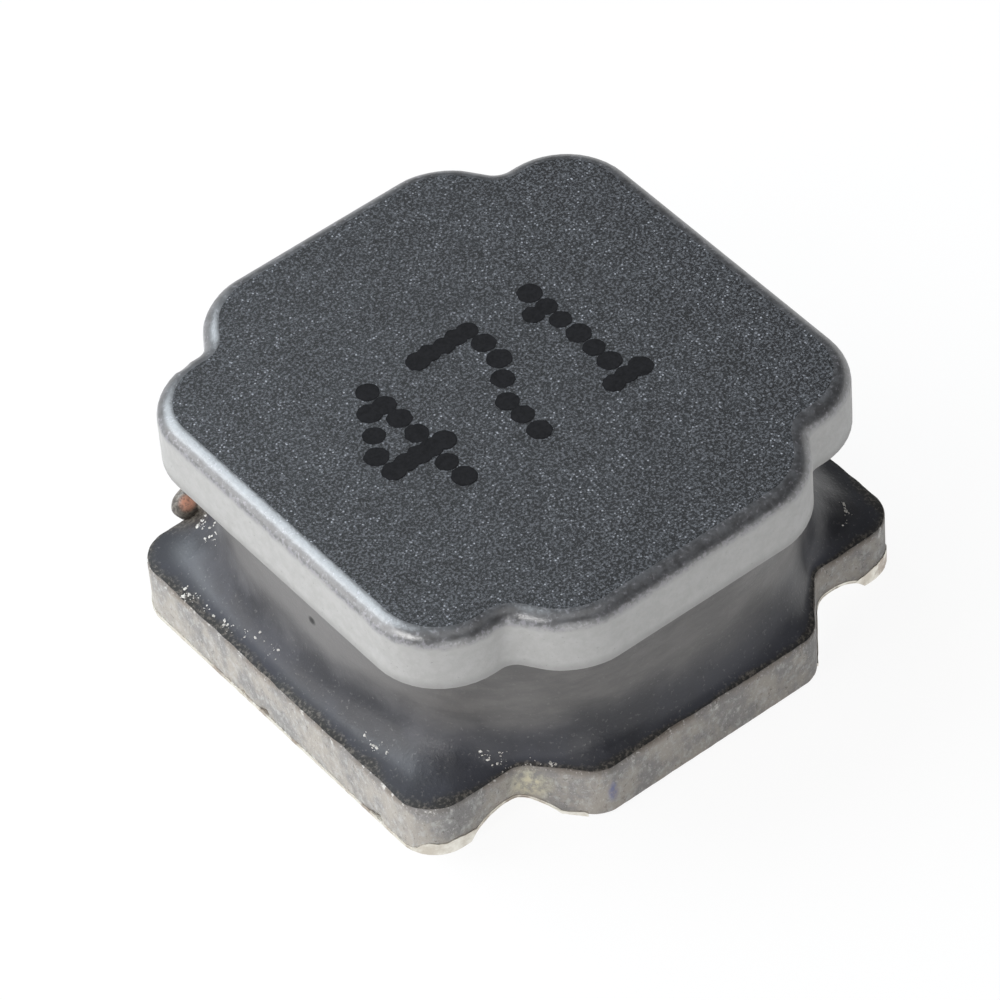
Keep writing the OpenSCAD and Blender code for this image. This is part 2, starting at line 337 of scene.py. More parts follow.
# %% Ferrite of the lower flange
flux_spot = (-1.78, -2.42, 0.38)
smudge_spot = (-1.22, -2.99, 0.12)
stained, tree = new_tree("stained_ferrite")
mm = in_mm(tree)
upright = in_mm(tree, (1.15, 1.15, 0.9))
stain = grain(tree, upright, 2.4, 5, 0.65)
mottle = grain(tree, upright, 11, 5, 0.7)
fleck = grain(tree, upright, 34, 3, 0.7)
z = axis_of(tree, mm, "Z")
warm = blend(tree, ramp(tree, stain, 0.40, 0.60), (0.240, 0.232, 0.226), (0.365, 0.335, 0.300))
warm = blend(tree, ramp(tree, mottle, 0.50, 0.64, 0.0, 0.7), warm, (0.43, 0.425, 0.415))
pores = ramp(tree, grain(tree, upright, 15, 3, 0.7), 0.60, 0.70, 0.0, 0.6)
warm = blend(tree, pores, warm, (0.10, 0.09, 0.085))
brown = calc(tree, "MULTIPLY", ramp(tree, z, 0.52, 0.63), ramp(tree, stain, 0.35, 0.6, 0.3, 0.8))
warm = blend(tree, brown, warm, (0.13, 0.105, 0.085))
chipped = calc(tree, "ADD", mottle, ramp(tree, z, 0.40, 0.62, -0.06, 0.02))
warm = blend(tree, ramp(tree, chipped, 0.62, 0.66, 0.0, 0.9), warm, (0.60, 0.58, 0.55))
warm = blend(tree, ramp(tree, fleck, 0.58, 0.70, 0.0, 0.5), warm, (0.66, 0.64, 0.61))
flux = near_spot(tree, mm, flux_spot, 0.05, 0.30)
flux = calc(tree, "MULTIPLY", flux, ramp(tree, mottle, 0.35, 0.6))
warm = blend(tree, flux, warm, (0.60, 0.56, 0.41))
smudge = near_spot(tree, in_mm(tree, (1, 1, 0.4)), smudge_spot, 0.005, 0.08)
smudge = calc(tree, "MULTIPLY", smudge, ramp(tree, mottle, 0.35, 0.60, 0.15, 0.75))
warm = blend(tree, smudge, warm, (0.05, 0.08, 0.30))
lumps = calc(tree, "ADD", mottle, calc(tree, "MULTIPLY", fleck, 0.5))
rough = ramp(tree, mottle, 0.3, 0.7, 0.62, 0.42)
close_tree(tree, warm, rough, lumps, 0.6, 0.02, IOR=1.5)

# %% [markdown]
# The resin is a binder filled with iron powder. It cures to a smooth dark skin with a
# satin shine, and the skin's blue cast is a painted tint of that sheen. High on the wall it
# is greyer and streaked, partly where it was wiped and partly a painted sheen of the
# upright wall, and paler still at the left end as painted light from the lamps on that
# side. Fine dust clings to the cove, and a crust stands where the film thins out at the edge.

# %% Shield resin, its skin
resin, tree = new_tree("powder_filled_resin")
mm = in_mm(tree)
dust = grain(tree, mm, 26, 3, 0.65)
cloud = grain(tree, mm, 1.3, 4, 0.6)
streaks = grain(tree, in_mm(tree, (1.0, 1.0, 3.0)), 2.2, 4, 0.6)
z = axis_of(tree, mm, "Z")
# Dark skin with a blue cast: the blue is a painted tint of the sheen.
skin = blend(tree, ramp(tree, cloud, 0.35, 0.65), (0.011, 0.012, 0.018), (0.026, 0.028, 0.039))
# Greyer and streaked higher up: wiped resin and a painted sheen of the upright wall.
high = calc(tree, "ADD", z, ramp(tree, cloud, 0.3, 0.7, -0.1, 0.1))
wiped_and_sheen = blend(tree, ramp(tree, streaks, 0.36, 0.66), (0.096, 0.092, 0.090), (0.128, 0.122, 0.118))
# Paler at the left end, which faces the lamps: painted light.
leftmost = ramp(tree, axis_of(tree, mm, "X"), -2.65, -2.10, 1.0, 0.0)
wiped_and_sheen = blend(tree, leftmost, wiped_and_sheen, (0.148, 0.143, 0.142))
skin = blend(tree, ramp(tree, high, 0.85, 1.42), skin, wiped_and_sheen)
skin = blend(tree, ramp(tree, dust, 0.58, 0.74, 0.0, 0.4), skin, (0.20, 0.195, 0.19))
film_end = calc(tree, "ADD", z, ramp(tree, streaks, 0.3, 0.7, -0.016, 0.016))
thin = ramp(tree, film_end, 0.638, 0.672, 1.0, 0.0)
crust = blend(tree, ramp(tree, dust, 0.46, 0.66), (0.012, 0.011, 0.010), (0.110, 0.098, 0.085))
skin = blend(tree, thin, skin, crust)
matt = calc(tree, "MULTIPLY", ramp(tree, z, 0.66, 0.74, 1.0, 0.0), 0.30)
matt = calc(tree, "ADD", matt, ramp(tree, cloud, 0.3, 0.7, 0.36, 0.50))

# %% [markdown]
# The marks come on top of that skin. The lump on the left lead is dusty, and copper
# shows through it in one place. One small pit has broken open on the left wall: its edge
# is pale, and its inside is painted shade. Each mark is a ball round a spot, faded towards
# its outside.

# %% Shield resin, its marks
lump_spot = (-2.15, 2.42, 0.78)
bare_spot = (-2.27, 2.34, 0.84)
pit_spot = (-2.64, -0.26, 1.52)
lump = near_spot(tree, mm, lump_spot, 0.15, 0.50)
dusty = blend(tree, ramp(tree, dust, 0.40, 0.60), (0.055, 0.045, 0.036), (0.180, 0.160, 0.135))
skin = blend(tree, calc(tree, "MULTIPLY", lump, 0.9), skin, dusty)
bare = near_spot(tree, mm, bare_spot, 0.04, 0.12)
bare = calc(tree, "MULTIPLY", bare, ramp(tree, dust, 0.35, 0.55, 0.4, 1.0))
skin = blend(tree, bare, skin, (0.48, 0.22, 0.14))
pit = near_spot(tree, mm, pit_spot, 0.02, 0.065)
halo = near_spot(tree, mm, pit_spot, 0.06, 0.12)
skin = blend(tree, calc(tree, "MULTIPLY", halo, 0.35), skin, (0.17, 0.165, 0.16))
# The pit's inside is painted shade, near black.
skin = blend(tree, pit, skin, (0.008, 0.008, 0.008))
relief = calc(tree, "ADD", dust, calc(tree, "MULTIPLY", streaks, 1.5))
relief = calc(tree, "SUBTRACT", relief, calc(tree, "MULTIPLY", pit, 4.0))
close_tree(tree, skin, matt, relief, 0.35, 0.01, IOR=1.58)


# %% [markdown]
# Tin, solder and copper are metals, so their colour is the colour of what they
# reflect. Dull tin keeps a crystalline unevenness, solder is brighter and smoother,
# and the copper shows through a clear amber enamel.

# %% Metals
def metal_finish(name, low, high, stain, smooth_to_rough, per_mm, depth):
    material, tree = new_tree(name)
    mm = in_mm(tree)
    mottle = grain(tree, mm, per_mm, 4, 0.65)
    fine = grain(tree, mm, per_mm * 5, 2, 0.6)
    colour = blend(tree, ramp(tree, mottle, 0.35, 0.65), low, high)
    stained_parts = ramp(tree, grain(tree, mm, per_mm * 0.6, 5, 0.6), 0.52, 0.62, 0.0, 0.8)
    colour = blend(tree, stained_parts, colour, stain)
    height = calc(tree, "ADD", mottle, calc(tree, "MULTIPLY", fine, 0.3))
    rough = ramp(tree, mottle, 0.3, 0.7, smooth_to_rough[1], smooth_to_rough[0])
    close_tree(tree, colour, rough, height, 0.5, depth, Metallic=1.0)
    return material


tin = metal_finish("dull_tin", (0.66, 0.62, 0.55), (0.84, 0.82, 0.75), (0.40, 0.34, 0.29),
                   (0.38, 0.60), 6, 0.02)
solder_metal = metal_finish("solder_metal", (0.68, 0.68, 0.67), (0.86, 0.86, 0.85), (0.55, 0.53, 0.50),
                            (0.22, 0.40), 3, 0.02)
copper = metal_finish("enamelled_copper", (0.50, 0.21, 0.09), (0.68, 0.32, 0.14), (0.34, 0.15, 0.07),
                      (0.20, 0.32), 10, 0.004)


# %% [markdown]
# Ink and dried flux are matt, because their surface is rough at a very fine scale.
# They need little more than an uneven tone, so one short helper does for both.

# %% Matt finishes
def matt_finish(name, low, high, per_mm, specular):
    material, tree = new_tree(name)
    speckle = grain(tree, in_mm(tree), per_mm, 3, 0.6)
    colour = blend(tree, ramp(tree, speckle, 0.3, 0.7), low, high)
    rough = ramp(tree, speckle, 0.3, 0.7, 0.55, 0.8)
    close_tree(tree, colour, rough, speckle, 0.4, 0.006, **{"Specular IOR Level": specular})
    return material


ink = matt_finish("black_ink", (0.004, 0.004, 0.005), (0.014, 0.014, 0.016), 34, 0.15)
residue = matt_finish("pale_residue", (0.42, 0.40, 0.37), (0.82, 0.80, 0.76), 22, 0.4)
print(len(bpy.data.materials), "materials made")


# %% [markdown]
# ## Outlines of the two flanges
# Each flange is a square with a notch on either side of its front and back, so that
# a lobe stands at every corner. The outline starts with only twelve sharp corners.
# A vertex bevel then rounds each kind of corner to its own radius. The bevel's offset
# is a distance along the edge, which for an arc of radius r through an angle t is
# r times the tangent of half of t.

# %% Outline helpers
def flange_face(bm, shape, z, inset=0.0):
    slope = math.radians(shape["slope"])
    half = math.tan(slope / 2)
    x = shape["x"] - inset
    y = shape["y"] - inset
    lobe = shape["lobe"] - inset
    foot = shape["foot"] - inset * half
    brow = foot - (y - lobe) / math.tan(slope)
    quarter = [(x, lobe, "corner"), (foot, lobe, "hollow"), (brow, y, "brow")]
    half_turn = quarter + [(-px, py, kind) for px, py, kind in reversed(quarter)]
    kinds = {}
    verts = []
    for px, py, kind in half_turn + [(-px, -py, kind) for px, py, kind in half_turn]:
        vert = bm.verts.new((px, py, z))
        kinds.setdefault(kind, []).append(vert)
        verts.append(vert)
    bm.faces.new(verts)
    rounds = [("corner", shape["corner"] - inset, 1.0, 12),
              ("hollow", shape["hollow"] + inset, half, 7),
              ("brow", shape["brow"] - inset, half, 9)]
    for kind, radius, reach, steps in rounds:
        bmesh.ops.bevel(bm, geom=kinds[kind], offset=radius * reach, segments=steps,
                        affect="VERTICES", profile=0.5, material=-1)
    bm.faces.ensure_lookup_table()
    return bm.faces[-1]


def divide(bm, edges, step):
    for edge in list(edges):
        parts = math.ceil(edge.calc_length() / step)
        if parts > 1:
            bmesh.ops.subdivide_edges(bm, edges=[edge], cuts=parts - 1)


def only(kind, geom):
    return [g for g in geom if isinstance(g, kind)]


# %% [markdown]
# One helper brings every piece home. It scales the mesh to metres, shades it smooth
# except at edges sharper than 35 degrees, hangs it on the root body, and hides the CAD
# nodes that it stands for.

# %% From bmesh to piece
sharp_angle = math.radians(35)


def to_piece(bm, name, material, stands_for=()):
    bmesh.ops.scale(bm, vec=(MM, MM, MM), verts=bm.verts)
    for face in bm.faces:
        face.smooth = True
    mesh = bpy.data.meshes.new(name)
    bm.to_mesh(mesh)
    bm.free()
    mesh.set_sharp_from_angle(angle=sharp_angle)
    piece = bpy.data.objects.new(name, mesh)
    bpy.context.scene.collection.objects.link(piece)
    mesh.materials.append(material)
    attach(piece, "root")
    if stands_for:
        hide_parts(*stands_for)
    print(name, len(mesh.vertices), "vertices,", len(mesh.polygons), "faces")
    return piece


# %% [markdown]
# ## The ferrite core
# On the real part this is one body: two flanges and a post, pressed from powder and
# sintered. Each flange is an outline face pulled up to its thickness, a little at a
# time, so that its walls have points to spare. Extruding leaves the old face behind,
# so after the first step it is deleted, or it would be a sheet inside the solid. The
# walls are then worn: they wander a few thousandths of a millimetre, and small chips
# are missing at the edges.

# %% Core helpers
def pull_up(bm, face, heights):
    for step, z in enumerate(heights):
        made = bmesh.ops.extrude_face_region(bm, geom=[face])["geom"]
        if step > 0:
            bmesh.ops.delete(bm, geom=[face], context="FACES_ONLY")
        for vert in only(bmesh.types.BMVert, made):
            vert.co.z = z
        face = only(bmesh.types.BMFace, made)[0]
    return face


tilt = 0.3  # a point leans that way when its normal has this much of it


def wear(bm, depth, chips, seed):
    random.seed(seed)
    bm.normal_update()
    walls = [v for v in bm.verts if v.normal.xy.length > tilt]
    edges = [v for v in walls if abs(v.normal.z) > tilt]
    hits = [(random.choice(edges).co.copy(), random.uniform(0.04, 0.11)) for _ in range(chips)]
    moves = {}
    for vert in walls:
        inward = -Vector((vert.normal.x, vert.normal.y, 0)).normalized()
        wander = depth * (0.5 + 0.5 * noise.noise(vert.co * 1.2))
        wander += 1.5 * depth * abs(vert.normal.z) * abs(noise.noise(vert.co * 9))
        chip = max((0.35 * r * (1 - (vert.co - c).length / r) for c, r in hits
                    if (vert.co - c).length < r), default=0.0)
        moves[vert] = inward * (wander + chip)
    for vert, move in moves.items():
        vert.co += move


def scratch_object(bm, name):
    mesh = bpy.data.meshes.new(name)
    bm.to_mesh(mesh)
    bm.free()
    obj = bpy.data.objects.new(name, mesh)
    bpy.context.scene.collection.objects.link(obj)
    return obj


# %% [markdown]
# The lower flange comes first. Its outline is drawn in by the thickness of the tin on
# its sides. It gets most of the wear, because its edges are thin and are handled,
# dipped and soldered.

# %% Lower flange
lift = 0.06
bm = bmesh.new()
face = flange_face(bm, lower, base_z, tin_t)
divide(bm, face.edges, 0.05)
face = pull_up(bm, bm.faces[0], [base_z + lift + lift * k for k in range(8)] + [deck_z])
bmesh.ops.recalc_face_normals(bm, faces=bm.faces)
bmesh.ops.bevel(bm, geom=list(face.edges), offset=0.02, segments=2,
                affect="EDGES", profile=0.5, material=-1)
wear(bm, depth=0.005, chips=34, seed=3)
lower_flange = scratch_object(bm, "lower_flange")


# %% [markdown]
# The two grooves on its underside are cut with a round cutter, since the cutter's
# shape is the groove's. The Boolean modifier does that cut, and its result becomes
# the flange's own mesh.

# %% Grooves
def cut_away(obj, cutter):
    modifier = obj.modifiers.new("cut", "BOOLEAN")
    modifier.operation = "DIFFERENCE"
    modifier.solver = "EXACT"
    modifier.object = cutter
    bpy.context.view_layer.update()
    cut = obj.evaluated_get(bpy.context.evaluated_depsgraph_get())
    result = bpy.data.meshes.new_from_object(cut)
    obj.modifiers.clear()
    obj.data = result
    bpy.data.objects.remove(cutter)


def along_y(x, y, z):
    return Matrix.Translation((x, y, z)) @ Matrix.Rotation(math.pi / 2, 4, "X")


for side in (-1, 1):
    bm = bmesh.new()
    bmesh.ops.create_cone(bm, cap_ends=True, segments=96, radius1=groove_r, radius2=groove_r,
                          depth=8, matrix=along_y(side * groove_x, 0, groove_axis_z))
    cut_away(lower_flange, scratch_object(bm, "groove_cutter"))
print("lower flange faces after the cuts:", len(lower_flange.data.polygons))

# %% [markdown]
# The upper flange is made the same way, and an edge bevel rounds its top rim. A
# narrow inset keeps the shading of that rim from spreading over the flat top.

# %% Upper flange, post, and the whole core
bm = bmesh.new()
face = flange_face(bm, upper, ceiling_z)
divide(bm, face.edges, 0.06)
top_z = total_h - ink_t
heights = [ceiling_z + 0.04, ceiling_z + 0.15, ceiling_z + 0.30, top_z - edge_r - 0.06, top_z]
top = pull_up(bm, bm.faces[0], heights)
bmesh.ops.recalc_face_normals(bm, faces=bm.faces)
bmesh.ops.bevel(bm, geom=list(top.edges), offset=edge_r, segments=8,
                affect="EDGES", profile=0.5, material=-1)
top = max(bm.faces, key=lambda f: (round(f.calc_center_median().z, 4), f.calc_area()))
bmesh.ops.inset_region(bm, faces=[top], thickness=0.03)
wear(bm, depth=0.002, chips=4, seed=8)
bm.from_mesh(lower_flange.data)
bpy.data.objects.remove(lower_flange)
bmesh.ops.create_cone(bm, cap_ends=True, segments=96, radius1=post_r, radius2=post_r,
                      depth=ceiling_z - deck_z,
                      matrix=Matrix.Translation((0, 0, (deck_z + ceiling_z) / 2)))
bmesh.ops.recalc_face_normals(bm, faces=bm.faces)
core = to_piece(bm, "ferrite_core", ferrite, ["drum_core"])
core.data.materials.append(stained)
core.data.materials.append(ground)
between = 1.0  # a height between the two flanges
for face in core.data.polygons:
    if face.center.z < between * MM:
        face.material_index = 1
    elif face.center.z > (top_z - 0.0005) * MM:
        face.material_index = 2

# %% [markdown]
# ## The coil and its two leads
# The coil is a spun section: flat against the post and the flanges, with the outer
# turns standing out as round ridges. Only its leads are ever seen, but it is what
# the part is for, and it is there when the resin is taken away.

# %% Coil
turns = 7
ridge_steps = 6
turn_pitch = (ceiling_z - deck_z) / turns
bm = bmesh.new()
chain = [bm.verts.new((post_r, 0, deck_z))]
for k in range(turns):
    for step in range(ridge_steps + 1):
        t = math.radians(-90 + 180 / ridge_steps * step)
        chain.append(bm.verts.new((coil_r - turn_pitch / 2 * (1 - math.cos(t)), 0,
                                   deck_z + (k + 0.5 + 0.5 * math.sin(t)) * turn_pitch)))
chain.append(bm.verts.new((post_r, 0, ceiling_z)))
section = [bm.edges.new(pair) for pair in zip(chain, chain[1:] + chain[:1])]
bmesh.ops.spin(bm, geom=chain + section, cent=(0, 0, 0), axis=(0, 0, 1), angle=math.tau,
               steps=96, use_merge=True)
bmesh.ops.remove_doubles(bm, verts=bm.verts, dist=seam)
print(turns, "turns in the outer layer,", round(turn_pitch, 3), "mm apart")

# %% [markdown]
# Each lead is one circle that is spun along the last turn, pulled along the deck,
# spun over the flange's edge, pulled down, and spun again into the groove. Spin and
# extrude follow the wire as a hand would. The second lead is the first in a mirror.

# %% Leads
bend_r = 0.15
last_turn = 80
lead_gap = (bend_r - wire_r) * 0.33
lead_z = deck_z + lead_gap + wire_r
lead_y = lower["lobe"] + lead_gap + wire_r
tail_z = groove_top - plate_t - lead_gap - wire_r
tail_end_y = -1.87


def pull(bm, edges, move):
    made = bmesh.ops.extrude_edge_only(bm, edges=edges)["geom"]
    fresh = set(only(bmesh.types.BMVert, made))
    bmesh.ops.translate(bm, vec=move, verts=list(fresh))
    return [e for e in only(bmesh.types.BMEdge, made) if fresh.issuperset(e.verts)]


def bend(bm, edges, centre, axis, degrees, steps):
    made = bmesh.ops.spin(bm, geom=edges, cent=centre, axis=axis, angle=math.radians(degrees),
                          steps=steps)
    return only(bmesh.types.BMEdge, made["geom_last"])


def add_mirrored(bm, one):
    mesh = bpy.data.meshes.new("one_side")
    one.to_mesh(mesh)
    bm.from_mesh(mesh)
    bmesh.ops.scale(one, vec=(-1, 1, 1), verts=one.verts)
    one.to_mesh(mesh)
    bm.from_mesh(mesh)
    one.free()
    bpy.data.meshes.remove(mesh)


lead = bmesh.new()
start = Matrix.Rotation(math.radians(-last_turn), 4, "Z") @ along_y(coil_r, 0, lead_z)
bmesh.ops.create_circle(lead, cap_ends=True, segments=20, radius=wire_r, matrix=start)
path = bend(lead, list(lead.edges), (0, 0, lead_z), (0, 0, 1), last_turn, 24)
path = pull(lead, path, (0, lead_y - bend_r, 0))
path = bend(lead, path, (0, lead_y - bend_r, lead_z - bend_r), (1, 0, 0), -90, 10)
path = pull(lead, path, (0, 0, -(lead_z - tail_z - 2 * bend_r)))
path = bend(lead, path, (0, lead_y - bend_r, tail_z + bend_r), (1, 0, 0), -90, 10)
path = pull(lead, path, (0, tail_end_y - lead_y + bend_r, 0))
bmesh.ops.contextual_create(lead, geom=path)
add_mirrored(bm, lead)
bmesh.ops.recalc_face_normals(bm, faces=bm.faces)
to_piece(bm, "copper_coil", copper, ["winding"])

# %% [markdown]
# ## The shield resin
# The resin is poured round the coil and shrinks as it cures. Its surface stands back
# under the upper flange, drops as a steep wall, and sweeps out in a cove to the edge
# of the lower flange. In plan the wall is between a circle and a square, which a
# superellipse gives with one number. Two limits meet in a smooth minimum, so that no
# crease shows where one takes over from the other.

# %% Resin surface in words
resin_margin = 0.02
resin_recess = 0.17
film_t = 0.035  # thickness of the film on the deck
film_edge_t = 0.005
film_fade = 0.12  # the film reaches its thickness about so far in from the edge
film_z = deck_z + film_edge_t + film_t
cove_h = 0.55
cove_min = 0.04
lip_h = 0.25
lip_w = 0.09
wall_half = (upper["x"] - resin_recess, upper["y"] - resin_recess)
squareness = 2.5


def eased_min(a, b, k=24):
    return -math.log(math.exp(-k * a) + math.exp(-k * b)) / k


def wall_at(way, out):
    ellipse = abs(way.x / wall_half[0]) ** squareness + abs(way.y / wall_half[1]) ** squareness
    return eased_min(ellipse ** (-1 / squareness), out - cove_min)


parallel = 1e-9  # below this a line and a direction never meet
hair = 1e-6  # allowance for rounding, where two pieces of the outline meet
roof_bm = bmesh.new()
flange_face(roof_bm, upper, 0, resin_margin)
roof_edges = [(e.verts[0].co.xy.copy(), e.verts[1].co.xy.copy()) for e in roof_bm.edges]
roof_bm.free()


def lip_at(way, out):
    hits = []
    for a, b in roof_edges:
        cross = way.x * (b - a).y - way.y * (b - a).x
        if abs(cross) > parallel:
            along = (a.x * way.y - a.y * way.x) / cross
            if -hair <= along <= 1 + hair:
                hits.append((a.x * (b - a).y - a.y * (b - a).x) / cross)
    return eased_min(wall_at(way, out) + lip_w, max(hits))


# %% [markdown]
# A ring of edges starts on the flange's outline and is pulled up ring by ring, each
# ring drawn in towards the wall. A vertex layer remembers how far out each point
# began, so that every ring above can be worked out from its own direction.

# %% Resin rings
bm = bmesh.new()
face = flange_face(bm, lower, deck_z, resin_margin)
divide(bm, face.edges, 0.045)
bmesh.ops.delete(bm, geom=bm.faces[:], context="FACES_ONLY")
reach = bm.verts.layers.float.new("reach")
for vert in bm.verts:
    ragged = 0.03 * max(0.0, noise.noise(vert.co * 2.5)) + 0.008 * noise.noise(vert.co * 9)
    vert.co.xy *= 1 - max(-0.003, ragged) / vert.co.xy.length
    vert[reach] = vert.co.xy.length


def ring_up(bm, ring, place):
    made = bmesh.ops.extrude_edge_only(bm, edges=ring)["geom"]
    fresh = set(only(bmesh.types.BMVert, made))
    for vert in fresh:
        way = vert.co.xy.normalized()
        r, z = place(way, vert[reach])
        vert.co = (way.x * r, way.y * r, z)
    return [e for e in only(bmesh.types.BMEdge, made) if fresh.issuperset(e.verts)]


def cove(turned):
    def place(way, out):
        r = out + (wall_at(way, out) - out) * math.sin(turned)
        film = film_t * (1 - math.exp((r - out) / film_fade))
        return r, deck_z + film_edge_t + film + cove_h * (1 - math.cos(turned))
    return place


def under_lip(turned):
    def place(way, out):
        wall = wall_at(way, out)
        return (wall + (lip_at(way, out) - wall) * (1 - math.cos(turned)),
                ceiling_z - lip_h * (1 - math.sin(turned)))
    return place


def wall_ring(z):
    return lambda way, out: (wall_at(way, out), z)


cove_rings, wall_rings, lip_rings = 24, 10, 8
ring = list(bm.edges)
for k in range(cove_rings + 1):
    ring = ring_up(bm, ring, cove(math.radians(90 * (k / cove_rings) ** 1.3)))
wall_low = film_z + cove_h
wall_high = ceiling_z - lip_h
for k in range(1, wall_rings + 1):
    ring = ring_up(bm, ring, wall_ring(wall_low + (wall_high - wall_low) * k / wall_rings))
for k in range(1, lip_rings + 1):
    ring = ring_up(bm, ring, under_lip(math.radians(90 * k / lip_rings)))
print("resin skin:", len(bm.verts), "points in rings round the part")

# %% [markdown]
# The skin is then given what pouring leaves on it: slow waves, and a ridge over each
# lead where the wire runs out under it. Both are sums of smooth functions of a
# point's place, which is easier to steer than moving points by hand.

# %% Waves and lead ridges
ridge_start_y, ridge_full_y = 0.9, 1.9
ridge_low, ridge_high = 0.12, 0.10  # under and over the lead's centre line
ridge_w = 0.13
ridge_reach = 0.35


def ramp_up(value, low, high):
    t = min(1.0, max(0.0, (value - low) / (high - low)))
    return t * t * (3 - 2 * t)


def ridge_over_lead(x, y):
    across = abs(abs(x) - groove_x)
    rise = ramp_up(y, ridge_start_y, ridge_full_y)
    swell = (ridge_low + ridge_high) * rise * math.exp(-(across / ridge_w) ** 2)
    return lead_z - ridge_low + swell


bm.normal_update()
for vert in bm.verts:
    x, y, z = vert.co
    if z < deck_z + 0.001 or z > ceiling_z - 0.001:
        continue
    free = ramp_up(z, film_z, film_z + 0.15) * ramp_up(ceiling_z - z, 0, 0.2)
    wave = 0.012 * noise.noise(Vector((x, y, z * 1.5)) * 1.3) + 0.004 * noise.noise(vert.co * 5)
    vert.co += vert.normal * wave * free
    if y > ridge_start_y and abs(abs(x) - groove_x) < ridge_reach and vert.co.z < between:
        vert.co.z = -eased_min(-vert.co.z, -ridge_over_lead(x, y), 40)
ridge_top = ridge_over_lead(groove_x, ridge_full_y)
print("each ridge stands", round(ridge_top - deck_z, 2), "mm over the deck")

# %% [markdown]
# The skin is closed behind by a bore that just clears the coil, so the ring comes
# back to where it began and the resin is one closed shell.

# %% Bore
bore_r = coil_r + 0.003
ring = ring_up(bm, ring, lambda way, out: (bore_r, ceiling_z))
ring = ring_up(bm, ring, lambda way, out: (bore_r, deck_z))
ring_up(bm, ring, lambda way, out: (out, deck_z))
bmesh.ops.remove_doubles(bm, verts=bm.verts, dist=seam)
print("open edges left in the resin:", sum(e.is_boundary for e in bm.edges))

# %% [markdown]
# A short sleeve of resin follows each lead over the edge and thins out on the wire,
# and a lump of spare resin hangs beside it. The sleeve is made as the lead was, only
# wider, and the lump is a ball pushed about by noise.

# %% Sleeves and lumps
coat_t = 0.05
sleeve_start_y, sleeve_middle_y = 1.75, 2.05
sleeve = bmesh.new()
bmesh.ops.create_circle(sleeve, cap_ends=True, segments=28, radius=wire_r + coat_t,
                        matrix=along_y(groove_x, sleeve_start_y, lead_z))
path = pull(sleeve, list(sleeve.edges), (0, 0.3, 0))
path = pull(sleeve, path, (0, lead_y - bend_r - sleeve_middle_y, 0))
path = bend(sleeve, path, (groove_x, lead_y - bend_r, lead_z - bend_r), (1, 0, 0), -90, 12)
for drop, narrow in ((0.03, 0.97), (0.03, 0.90), (0.03, 0.82), (0.02, 0.75)):
    path = pull(sleeve, path, (0, 0, -drop))
    rim = list({v for e in path for v in e.verts})
    middle = sum((v.co for v in rim), Vector()) / len(rim)
    bmesh.ops.scale(sleeve, vec=(narrow, narrow, 1), verts=rim, space=Matrix.Translation(-middle))
bmesh.ops.contextual_create(sleeve, geom=path)
lump_at = Vector((groove_x + 0.12, lead_y - 0.04, lead_z - 0.02))
bmesh.ops.create_icosphere(sleeve, subdivisions=4, radius=1, matrix=Matrix.Translation(lump_at)
                           @ Matrix.Diagonal((0.20, 0.15, 0.19, 1)))
for vert in sleeve.verts:
    vert.co += 0.012 * Vector((noise.noise(vert.co * 4), noise.noise(vert.co * 4 + Vector((9, 0, 0))), 0))
    vert.co += 0.10 * (vert.co - lump_at) * noise.noise(vert.co * 7)
add_mirrored(bm, sleeve)
bmesh.ops.recalc_face_normals(bm, faces=bm.faces)
shield = to_piece(bm, "resin_shield", resin, ["shield_resin"])

# %% [markdown]
# ## Plating
# The ends of the lower flange are dipped and plated, so the tin covers the underside,
# lines the groove, and creeps a little way up the sides with a ragged edge. Both the
# plate and the skirt round it start as the end of the flange's outline, sliced many
# times across the groove so that they can be bent into it.

# %% Plating helpers
plate_x = 1.45
plate_gap = 0.005
lining_r = groove_r - plate_t
mouth_half = 0.447
mouth_slices = 30


def arch(across, radius, flat_z):
    inside = radius ** 2 - across ** 2
    return max(flat_z, groove_axis_z + math.sqrt(inside)) if inside > 0 else flat_z


def creep(spot):
    uneven = 0.031 + 0.03 * max(0, noise.noise(spot * 2.2)) + 0.03 * abs(noise.noise(spot * 14))
    on_lobe = ramp_up(abs(spot.y), 2.05, 2.3) * ramp_up(abs(spot.x), 2.35, 2.50)
    in_mouth = ramp_up(abs(spot.y), 2.2, 2.3) * (1 - ramp_up(abs(abs(spot.x) - groove_x), 0.36, 0.47))
    uneven *= 1 - 0.8 * in_mouth
    height = 0.13 if spot.y < 0 else 0.07
    return uneven + height * on_lobe * (1 + 0.35 * noise.noise(spot * 5))


def every_part(bm):
    return bm.verts[:] + bm.edges[:] + bm.faces[:]


def slice_at(bm, x, keep=0):
    bmesh.ops.bisect_plane(bm, geom=every_part(bm), plane_co=(x, 0, 0),
                           plane_no=(keep or 1, 0, 0), clear_inner=keep != 0)


def end_outline(side, inset, step):
    bm = bmesh.new()
    divide(bm, flange_face(bm, lower, 0, inset).edges, step)
    slice_at(bm, side * plate_x, side)
    for k in range(mouth_slices + 1):
        slice_at(bm, side * (groove_x - mouth_half + 2 * mouth_half * k / mouth_slices))
    return bm


def two_skins(bm, move):
    made = bmesh.ops.extrude_face_region(bm, geom=bm.faces[:], use_keep_orig=True)["geom"]
    for vert in only(bmesh.types.BMVert, made):
        move(vert)
    bmesh.ops.recalc_face_normals(bm, faces=bm.faces)


# %% [markdown]
# A sheet gets its thickness by being extruded into a second skin, and only that skin
# is moved. The plate's second skin goes up to the ferrite and the skirt's goes in
# towards it. The skirt's upper edge is first pulled up by an uneven amount.

# %% Plating
def under_pads(bm):
    for vert in bm.verts:
        vert.co.z = arch(abs(vert.co.x) - groove_x, lining_r, 0.0)


def to_ferrite(vert):
    vert.co.z = arch(abs(vert.co.x) - groove_x, groove_r, plate_t)


def sink(vert, depth):
    out = Vector((vert.normal.x, vert.normal.y, 0)).normalized()
    vert.co.xy -= (out if out.dot(vert.co) > 0 else -out).xy * depth


